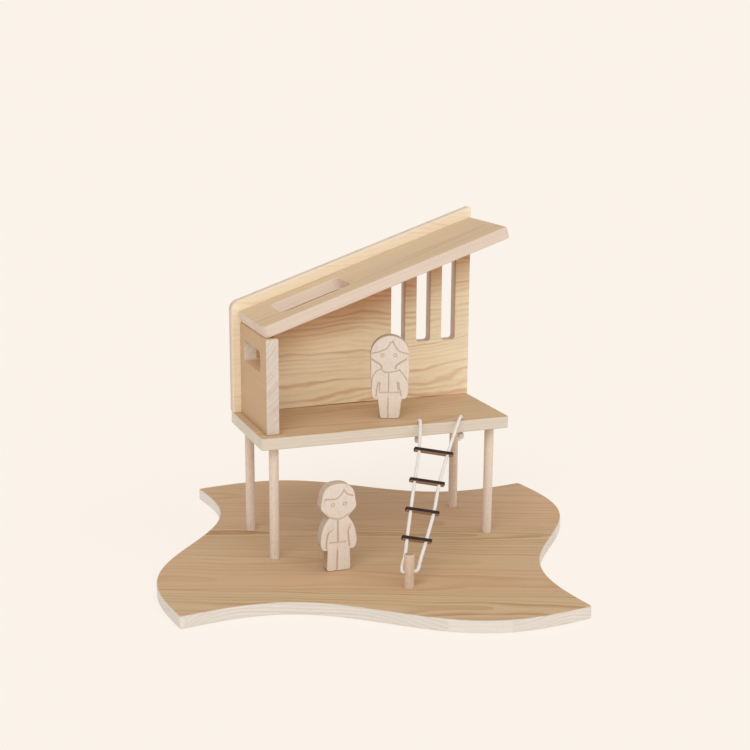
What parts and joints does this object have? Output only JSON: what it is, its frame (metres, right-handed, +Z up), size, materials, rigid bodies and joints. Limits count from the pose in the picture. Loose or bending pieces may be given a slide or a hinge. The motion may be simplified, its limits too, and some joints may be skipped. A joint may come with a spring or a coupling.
{
  "type": "toy stilt house",
  "caption": "Wooden toy house on dowel stilts over a wavy-edged base tile, with a sloping roof, a slotted back wall, a rope ladder tied to a peg, and flat doll figures.",
  "frame": {"origin": "centre of the base tile's underside", "axes": "+Z up, +X along the house's long side towards its open high end, +Y towards the back wall"},
  "size_m": [0.5902, 0.5902, 0.4297],
  "materials": {
    "board_pine": "satin",
    "wall_pine": "satin",
    "dowel_beech": "satin",
    "figure_beech": "satin",
    "rung_plywood": "matte",
    "white_cord": "matte"
  },
  "bodies": {
    "base": {"base_tile": "board_pine"},
    "house": {"stilt_front_left": "dowel_beech", "stilt_front_right": "dowel_beech", "stilt_back_left": "dowel_beech", "stilt_back_right": "dowel_beech", "platform_floor": "board_pine", "back_wall": "wall_pine", "left_wall": "wall_pine", "roof_panel": "board_pine", "back_wall_pin_1": "dowel_beech", "back_wall_pin_2": "dowel_beech", "back_wall_pin_3": "dowel_beech", "left_wall_pin_1": "dowel_beech", "left_wall_pin_2": "dowel_beech", "corner_pin_1": "dowel_beech", "corner_pin_2": "dowel_beech", "roof_back_pin_1": "dowel_beech", "roof_back_pin_2": "dowel_beech", "roof_back_pin_3": "dowel_beech", "roof_left_pin_1": "dowel_beech", "roof_left_pin_2": "dowel_beech", "ladder_peg": "dowel_beech", "ladder_rope": "white_cord", "rope_knot_left": "white_cord", "rope_knot_right": "white_cord", "ladder_rung_1": "rung_plywood", "ladder_rung_2": "rung_plywood", "ladder_rung_3": "rung_plywood", "ladder_rung_4": "rung_plywood"},
    "long_hair_figure": {"long_hair_figure": "figure_beech"},
    "short_hair_figure": {"short_hair_figure": "figure_beech"}
  },
  "joints": [
    {"name": "house_lift", "type": "slide", "parent": "base", "child": "house", "axis": [0, 0, 1], "range_m": [0, 0.06]},
    {"name": "long_hair_figure_slide", "type": "slide", "parent": "house", "child": "long_hair_figure", "axis": [0, -1, 0], "range_m": [0, 0.15]},
    {"name": "short_hair_figure_lift", "type": "slide", "parent": "base", "child": "short_hair_figure", "axis": [0, 0, 1], "range_m": [0, 0.12]}
  ]
}
